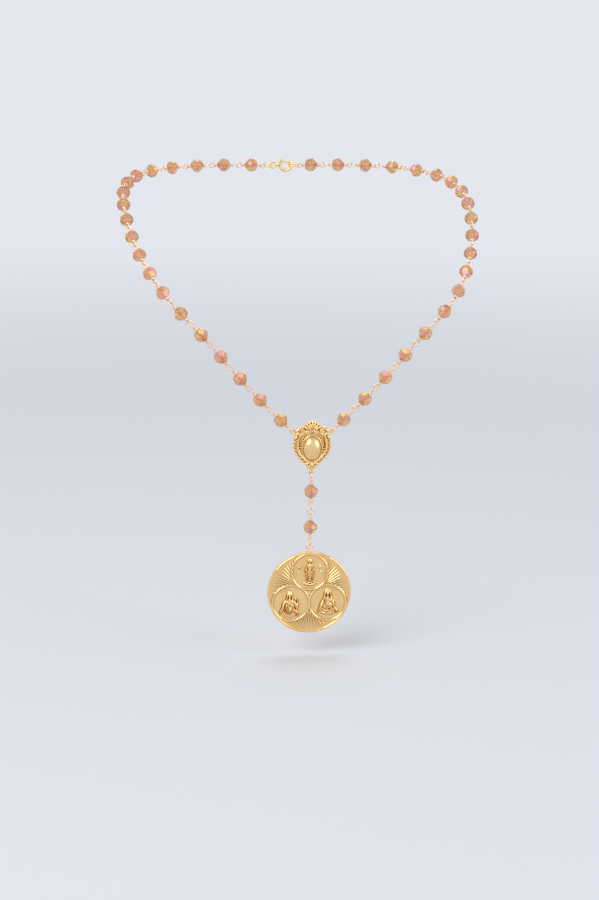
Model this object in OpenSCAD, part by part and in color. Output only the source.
// Rosary necklace: faceted crystal beads, each free to spin on its own wire link,
// a cast centrepiece, a two-bead drop and a round three-scene medal.
// Millimetres. +Z up, the front of the necklace faces -Y, the origin is at the nape.

/* [Beads] */
// Width across a crystal bead
bead_d = 6; // [5:0.5:8]
// Length of a bead along its hole
bead_l = 5.4; // [4.5:0.1:7.5]
// Width of the flat end of a bead
bead_end_d = 2.4; // [1.8:0.1:3]
// Half height of the zigzag belt round a bead
bead_belt = 0.55; // [0.4:0.05:0.7]
// Facets in each row round a bead
facets = 8; // [6:1:10]
// Gap between the wire and the wall of a bead's hole
bore_gap = 0.1; // [0.05:0.01:0.1]
// Beads on each side of the loop
side_beads = 20; // [16:1:20]
// Pairs of links that hang free at the front
hanging_pairs = 5; // [2:1:5]

/* [Wire links] */
// Thickness of the wire
wire_d = 0.6; // [0.5:0.05:0.7]
// Radius of a link's eye, to the middle of the wire
eye_r = 1.15; // [1:0.05:1.5]
// Turns wrapped under each eye of a loop link
wraps = 2; // [1:1:4]
// Radius of the eyes on the two drop links
drop_eye_r = 1.4; // [1.1:0.05:1.8]
// Turns wrapped under each eye of a drop link
drop_wraps = 4; // [2:1:5]
// Gap between a bead's end and the wraps
end_play = 0.1; // [0.05:0.05:0.3]
// Gap left where two rings hang in each other
ring_gap = 0.12; // [0.08:0.01:0.2]

/* [Centrepiece] */
// Width of the centrepiece
centre_w = 17; // [14:0.5:22]
// Height of the centrepiece
centre_h = 22; // [18:0.5:28]
// Thickness of its back plate
centre_t = 1.6; // [1.2:0.1:2.4]
// Width of the raised border
border_w = 2.1; // [1.5:0.1:2.8]
// Height of the border above the plate
border_rise = 0.8; // [0.4:0.1:1.2]
// Width of the domed oval
dome_w = 8.4; // [6:0.2:10]
// Height of the domed oval
dome_h = 12; // [9:0.5:14]
// Rise of the dome above the plate
dome_rise = 2; // [1:0.1:3]
// Radius of the small cast loops, to the middle of their wire
loop_r = 0.95; // [0.9:0.05:1.2]
// Thickness of the cast loops
loop_d = 0.7; // [0.5:0.05:0.8]
// Distance of each upper loop from the middle
loop_side = 8.4; // [7.5:0.1:10]
// Height of the upper loops above the middle
loop_up = 6.2; // [5:0.1:8]

/* [Medal] */
// Diameter of the medal
medal_d = 36; // [28:0.5:44]
// Thickness of the medal's plate
medal_t = 1.6; // [1.2:0.1:2.4]
// Width of the medal's edge rim
rim_w = 1; // [0.6:0.1:1.6]
// Diameter of each round scene, over its rim
scene_d = 16.4; // [12:0.2:17]
// Distance of the scenes from the medal's middle
scene_out = 9.2; // [8:0.1:11]
// Width of the rim round each scene
scene_rim_w = 0.8; // [0.5:0.1:1.2]
// Rise of the rims above the plate
rim_rise = 0.5; // [0.3:0.1:0.8]
// Radius of the medal's ring, to the middle of its wire
medal_ring_r = 1.4; // [1.2:0.05:1.8]

/* [Clasp] */
// Thickness of the clasp's body
clasp_t = 2.4; // [2:0.1:3]
// Outer radius of the clasp's claw
claw_r = 3.2; // [2.8:0.1:4]
// Width of the claw's arm
claw_arm = 1.3; // [1:0.1:1.4]
// Thickness of the claw's arm and of the lever
arm_t = 1.2; // [1:0.1:1.3]
// Distance from the tail loop to the middle of the claw
claw_out = 5.9; // [5:0.1:7]
// Radius of the tail loop, to the middle of its band
tail_r = 1.3; // [1.2:0.05:1.5]
// Width of the tail loop's band
tail_band = 0.8; // [0.7:0.05:0.9]
// Radius of the clasp's pivot pin
pin_r = 0.3; // [0.25:0.01:0.35]
// Width of the clasp's lever
lever_w = 0.7; // [0.6:0.05:0.8]
// Thickness of the clasp's spring wire
spring_d = 0.16; // [0.12:0.01:0.18]
// Gap round the pin and beside the lever
pivot_gap = 0.06; // [0.03:0.01:0.08]
// Radius of the jump ring, to the middle of its wire
jump_r = 1.8; // [1.6:0.05:2.2]
// Radius of the end ring, to the middle of its wire
end_ring_r = 2.3; // [2.1:0.05:2.8]
// Thickness of the jump ring's and end ring's wire
ring_d = 0.7; // [0.6:0.05:0.8]

/* [Drape] */
// How steeply the loop climbs from the centrepiece to the nape, 1 on a usual neck
steepness = 1; // [0.8:0.05:1.15]

/* [Hidden] */

$fn = 40;
sink = 0.05;                // how far joined shapes run into each other
neck_gap = 0.1;             // bare wire between the wraps and the eye
neck_draw = 0.04;           // the wire is a little thinner there
wrap_pitch = wire_d * 0.93;
wire_r = wire_d / 2;
loop_wire_r = loop_d / 2;
ring_wire_r = ring_d / 2;

crystal = [0.82, 0.6, 0.4, 0.85];
rose_gold = [0.9, 0.7, 0.6];
gold = [0.9, 0.74, 0.42];

// ---- Rings hanging in rings ----

// Distance between the middles of two rings that hang in each other
function hang(ra, wa, rb, wb) = (ra - wa) + (rb - wb) - ring_gap;

// Length of the wrapped wire under an eye
function wrap_length(turns) = wire_d + (turns - 1) * wrap_pitch;

// From the middle of a bead to the middle of the eye beside it
function half_link(eye, turns) =
    bead_l / 2 + end_play + wrap_length(turns) + neck_gap + wire_r + eye;

link_half = half_link(eye_r, wraps);
drop_half = half_link(drop_eye_r, drop_wraps);
eye_step = hang(eye_r, wire_r, eye_r, wire_r);

// ---- The drape of the loop ----
// A side's links are numbered from the centrepiece to the clasp. Each has a heading,
// 0 outwards, 90 backwards and 180 towards the nape, and a slope above the level.

// The headings behind the hanging links: part of the way to the clasp, degrees
turning = [[0, 12], [0.07, 33], [0.13, 57], [0.2, 68], [0.33, 80], [0.47, 90], [0.6, 106],
    [0.73, 134], [0.87, 166], [1, 186]];
// The slopes of all the links: part of the way to the clasp, degrees
climbing = [[0, 44], [0.16, 50], [0.21, 47], [0.26, 40], [0.32, 33], [0.37, 29], [0.47, 28],
    [0.53, 24], [0.63, 13], [0.74, 4], [0.85, 0], [1, 0]];

function slope(i) = steepness * lookup((i - 1) / (side_beads - 1), climbing);
function heading(i, turn) = i <= hanging_pairs ? 0
    : turn * lookup((i - hanging_pairs) / (side_beads - hanging_pairs), turning);
function along(i, turn) = let (h = heading(i, turn), s = slope(i))
    [cos(h) * cos(s), sin(h) * cos(s), sin(s)];
function unit(v) = v / norm(v);

first_hang = hang(eye_r, wire_r, loop_r, loop_wire_r);
first_eye = [loop_side, 0, loop_up] + first_hang * along(1, 1);

// The middle of link i's lower eye, measured from the middle of the centrepiece
function lower_eye(i, turn) = i == 1 ? first_eye
    : lower_eye(i - 1, turn) + 2 * link_half * along(i - 1, turn)
        + eye_step * unit(along(i - 1, turn) + along(i, turn));
function upper_eye(i, turn) = lower_eye(i, turn) + 2 * link_half * along(i, turn);

// The clasp and its rings, laid end to end between the last two eyes
jump_step = hang(eye_r, wire_r, jump_r, ring_wire_r);
tail_step = hang(jump_r, ring_wire_r, tail_r, tail_band / 2);
hook_seat = claw_out + claw_r - claw_arm - ring_wire_r - 0.25;
end_step = hang(end_ring_r, ring_wire_r, eye_r, wire_r);
clasp_reach = jump_step + tail_step + hook_seat + end_ring_r + end_step;

// How sharply the loop turns, found so that its ends meet the clasp
function close_turn(low, high, tries) = let (mid = (low + high) / 2)
    tries == 0 ? mid
    : upper_eye(side_beads, mid)[0] > clasp_reach / 2 ? close_turn(mid, high, tries - 1)
    : close_turn(low, mid, tries - 1);
turn = close_turn(0.6, 1.6, 24);

nape = upper_eye(side_beads, turn);
centre = [0, -nape[1], -nape[2]];
clasp_start = -clasp_reach / 2;

// ---- The drop, measured down from the middle of the centrepiece ----
bottom_loop = centre_h / 2 + loop_r - 0.3;
drop_eye_1 = bottom_loop + hang(loop_r, loop_wire_r, drop_eye_r, wire_r);
drop_low_1 = drop_eye_1 + 2 * drop_half;
drop_eye_2 = drop_low_1 + hang(drop_eye_r, wire_r, drop_eye_r, wire_r);
drop_low_2 = drop_eye_2 + 2 * drop_half;
medal_ring_down = drop_low_2 + hang(drop_eye_r, wire_r, medal_ring_r, wire_r);
medal_loop_down = medal_ring_down + hang(medal_ring_r, wire_r, loop_r, loop_wire_r);
medal_down = medal_loop_down + loop_r + medal_d / 2 - 0.45;

// ---- Placing ----

module at_link(i)
    translate(centre + lower_eye(i, turn)) rotate([0, -slope(i), heading(i, turn)]) children();

module at_drop(down) translate(centre - [0, 0, down]) rotate([0, 90, 0]) children();

module left_side() mirror([1, 0, 0]) children();

// A ring in the plane across X, Y or Z
module ring(r, wire) rotate_extrude() translate([r, 0]) circle(wire);
module ring_across_x(r, wire) rotate([0, 90, 0]) ring(r, wire);
module ring_across_y(r, wire) rotate([90, 0, 0]) ring(r, wire);

// ---- Crystal beads ----

// One row of a bead's corners: distance along the hole, radius and half-step shift
function row(x, r, shift) = [for (i = [0 : facets - 1])
    let (a = (i + shift) * 360 / facets) [x, r * cos(a), r * sin(a)]];
function fan(low, flip) = [[for (i = [0 : facets - 1]) low + (flip ? facets - 1 - i : i)]];
// Two triangles at each corner of a zigzag between a row and the next, half a step on
function zigzag(low, shift) = [for (i = [0 : facets - 1])
    let (j = (i + 1) % facets, up = low + facets)
    each shift == 0 ? [[low + i, low + j, up + i], [low + j, up + j, up + i]]
        : [[low + i, low + j, up + j], [low + i, up + j, up + i]]];

// The shoulder row is where the end facets and the belt facets both lie flat
module faceted_bead() {
    corner = bead_d / 2;
    flat = cos(180 / facets);
    belt_lean = corner * (1 - flat) / (2 * bead_belt);
    end_lean = (corner - bead_end_d / 2) / (bead_l / 2 - bead_belt);
    shoulder = (corner * (1 - flat) + bead_belt * (end_lean + flat * belt_lean))
        / (end_lean - flat * belt_lean);
    shoulder_r = corner - belt_lean * (shoulder + bead_belt);
    points = concat(row(-bead_l / 2, bead_end_d / 2, 0), row(-shoulder, shoulder_r, 0.5),
        row(-bead_belt, corner, 0), row(bead_belt, corner, 0.5),
        row(shoulder, shoulder_r, 0), row(bead_l / 2, bead_end_d / 2, 0.5));
    faces = concat(fan(0, false), zigzag(0, 0), zigzag(facets, 1), zigzag(2 * facets, 0),
        zigzag(3 * facets, 1), zigzag(4 * facets, 0), fan(5 * facets, true));
    color(crystal) difference() {
        polyhedron(points, faces);
        rotate([0, 90, 0]) cylinder(h = bead_l + 2, r = wire_r + bore_gap, center = true);
    }
}

module loop_bead(i) at_link(i) translate([link_half, 0, 0]) faceted_bead();
module drop_bead(eye_down) at_drop(eye_down) translate([drop_half, 0, 0]) faceted_bead();

// ---- Wire links ----

// The straight wire with the turns wrapped round it at both ends, along X
module wrapped_wire(half, eye, turns) rotate([0, 90, 0]) rotate_extrude() {
    bare = half - eye;
    square([wire_r - neck_draw, bare]);
    translate([0, -bare]) square([wire_r - neck_draw, bare]);
    translate([0, -bead_l / 2 - end_play - wire_r]) square([wire_r, bead_l + 2 * end_play + wire_d]);
    for (side = [-1, 1], i = [0 : turns - 1])
        translate([2 * wire_r - sink, side * (bead_l / 2 + end_play + wire_r + i * wrap_pitch)])
            circle(wire_r);
}

// A link along X from the middle of its first eye; an eye faces Y, or Z where it is turned
module wire_link(half, eye, turns, turn_first, turn_last) color(rose_gold) union() {
    translate([half, 0, 0]) wrapped_wire(half, eye, turns);
    rotate([turn_first, 0, 0]) ring_across_y(eye, wire_r);
    translate([2 * half, 0, 0]) rotate([turn_last, 0, 0]) ring_across_y(eye, wire_r);
}

// The first link hangs on a flat cast loop and the last one holds a level ring
module loop_wire(i) at_link(i)
    wire_link(link_half, eye_r, wraps, i == 1 ? 90 : 0, i == side_beads ? 0 : 90);

module front_wires(i) {
    loop_wire(i);
    left_side() loop_wire(i);
}

module neck_wires() for (i = [hanging_pairs + 1 : side_beads]) loop_wire(i);

module drop_wire(eye_down, turn_first) at_drop(eye_down)
    wire_link(drop_half, drop_eye_r, drop_wraps, turn_first, 90);

// ---- Centrepiece ----

// A pointed oval, drawn in by pinch towards the top and the bottom
function shield(w, h) = [for (a = [0 : 10 : 350])
    let (s = sin(a), pinch = s > 0 ? 0.75 * pow(s, 6) : 0.75 * pow(-s, 2.3))
    [w / 2 * cos(a) * (1 - pinch), h / 2 * s]];

module oval(w, h) polygon([for (a = [0 : 12 : 348]) [w / 2 * cos(a), h / 2 * sin(a)]]);

// Drawn in X and Z with the back at Y = centre_t / 2 and the front towards -Y
module centrepiece() translate(centre) color(gold) union() {
    front = -centre_t / 2;
    rotate([90, 0, 0]) translate([0, 0, -centre_t / 2]) {
        linear_extrude(centre_t) polygon(shield(centre_w, centre_h));
        linear_extrude(centre_t + border_rise) difference() {
            polygon(shield(centre_w, centre_h));
            polygon(shield(centre_w - 2 * border_w, centre_h - 2 * border_w));
        }
    }
    dome_ball = (pow(dome_h / 2, 2) + pow(dome_rise, 2)) / (2 * dome_rise);
    intersection() {
        translate([0, front + dome_ball - dome_rise, 0]) sphere(dome_ball);
        rotate([90, 0, 0]) linear_extrude(centre_t + dome_rise) oval(dome_w, dome_h);
    }
    for (side = [-1, 1]) {
        translate([side * loop_side, 0, loop_up]) ring_across_y(loop_r, loop_wire_r);
        translate([side * centre_w * 0.36, 0, loop_up]) rotate([0, side * 90, 0])
            cylinder(h = loop_side - centre_w * 0.36 - loop_r, r = loop_wire_r - neck_draw);
    }
    translate([0, 0, -bottom_loop]) ring_across_y(loop_r, loop_wire_r);
}

// ---- Medal ----

module disc(d, thick) rotate([90, 0, 0]) cylinder(h = thick, r = d / 2);

module raised_rim(d, w) difference() {
    disc(d, medal_t / 2 + rim_rise);
    translate([0, 1, 0]) disc(d - 2 * w, medal_t + rim_rise + 2);
}

module medal() translate(centre - [0, 0, medal_down]) color(gold) union() {
    translate([0, medal_t / 2, 0]) disc(medal_d, medal_t);
    raised_rim(medal_d, rim_w);
    for (a = [90, 210, 330])
        translate(scene_out * [cos(a), 0, sin(a)]) raised_rim(scene_d, scene_rim_w);
    translate([0, 0, medal_down - medal_loop_down]) ring_across_x(loop_r, loop_wire_r);
}

module medal_ring() translate(centre - [0, 0, medal_ring_down])
    color(rose_gold) ring_across_y(medal_ring_r, wire_r);

// ---- Clasp, lying flat on the nape, from its jump ring on the left to its end ring ----

module at_clasp(x) translate([clasp_start + x, 0, 0]) children();
module level_ring(x, r) at_clasp(x) color(gold) ring(r, ring_wire_r);

tail_x = jump_step + tail_step;
claw_back = 144;             // where the thick back of the claw starts, in degrees round it
claw_base = 268;
claw_tip = 412;
pivot_at = 132;
arm_mid = claw_r - claw_arm / 2;
pivot = arm_mid * [cos(pivot_at), 0, sin(pivot_at)];
knuckle_r = claw_arm / 2 - sink;
slot_t = arm_t + 2 * pivot_gap;
spring_r = pin_r + pivot_gap + spring_d / 2;
spring_room = 2 * spring_d + pivot_gap;

// The lever's tip rests behind the tip of the claw
lever_tip_r = claw_r - claw_arm - pivot_gap - lever_w / 2;
lever_tip = lever_tip_r * [cos(claw_tip - 7), 0, sin(claw_tip - 7)];

// A sector between two angles round the claw
module sector(from, to) polygon(concat([[0, 0]],
    [for (i = [0 : 4]) let (a = from + (to - from) * i / 4) 2 * claw_r * [cos(a), sin(a)]]));

// Part of the claw's round arm, thick across Y
module claw_arc(from, to, thick) rotate([90, 0, 0]) translate([0, 0, -thick / 2])
    linear_extrude(thick) intersection() {
        difference() {
            circle(claw_r);
            circle(claw_r - claw_arm);
        }
        sector(from, to);
    }

// A round bar or hole along Y
module cross_bar(r, long) rotate([90, 0, 0]) cylinder(h = long, r = r, center = true);
module at_claw() at_clasp(tail_x + claw_out) children();

module clasp_body() color(gold) difference() {
    union() {
        at_clasp(tail_x) {
            difference() {
                cross_bar(tail_r + tail_band / 2, tail_band);
                cross_bar(tail_r - tail_band / 2, clasp_t + 1);
            }
            rotate([90, 0, 0]) translate([0, 0, -arm_t / 2]) linear_extrude(arm_t)
                polygon([[tail_r, -0.5], [claw_out - arm_mid, -1.3],
                    [claw_out - arm_mid, 1.1], [tail_r, 0.5]]);
        }
        at_claw() {
            claw_arc(claw_back, claw_base, clasp_t);
            claw_arc(claw_base - 1, claw_tip, arm_t);
            translate(pivot) cross_bar(claw_arm / 2 + sink, clasp_t);
        }
    }
    at_claw() translate(pivot) {
        cross_bar(pin_r + pivot_gap / 2, clasp_t + 1);
        cube([claw_arm + 0.5, slot_t, claw_arm + 0.5], center = true);
    }
}

module clasp_lever() at_claw() color(gold) difference() {
    reach = lever_tip - pivot;
    thumb = pivot + 1.15 * unit(pivot);
    union() {
        translate(pivot) {
            cross_bar(knuckle_r, arm_t);
            rotate([0, -atan2(reach[2], reach[0]), 0]) translate([norm(reach) / 2, 0, 0])
                cube([norm(reach), arm_t, lever_w], center = true);
            rotate([0, -pivot_at, 0]) translate([0.6, 0, 0])
                cube([1.2, arm_t, lever_w], center = true);
        }
        translate(lever_tip) cross_bar(lever_w / 2, arm_t);
        translate(thumb) cross_bar(lever_w / 2 + sink, arm_t);
    }
    translate(pivot) {
        cross_bar(pin_r + pivot_gap, clasp_t);
        translate([0, arm_t / 2, 0]) cross_bar(spring_r + spring_d / 2 + pivot_gap, 2 * spring_room);
    }
}

module clasp_pin() at_claw() translate(pivot) color(gold) cross_bar(pin_r, clasp_t);

// Two close turns round the pin, in the recess of the lever's knuckle
module clasp_spring() at_claw() translate(pivot + [0, arm_t / 2 - spring_room + pivot_gap / 2, 0])
    color("silver") rotate([-90, 0, 0]) rotate_extrude() for (i = [0, 1])
        translate([spring_r, spring_d / 2 + i * (spring_d - 0.02)]) circle(spring_d / 2);

// ---- Every node ----

for (i = [1 : side_beads]) {
    loop_bead(i);
    left_side() loop_bead(i);
}
for (i = [1 : hanging_pairs])
    front_wires(i);
neck_wires();  // neck_wires_right
left_side() neck_wires();  // neck_wires_left
drop_bead(drop_eye_1);  // drop_bead_1
drop_bead(drop_eye_2);  // drop_bead_2
drop_wire(drop_eye_1, 90);  // drop_wire_1
drop_wire(drop_eye_2, 0);  // drop_wire_2
centrepiece();
medal_ring();
medal();
level_ring(jump_step, jump_r);  // clasp_jump_ring
clasp_body();
clasp_lever();
clasp_pin();
clasp_spring();
level_ring(tail_x + hook_seat + end_ring_r, end_ring_r);  // clasp_end_ring
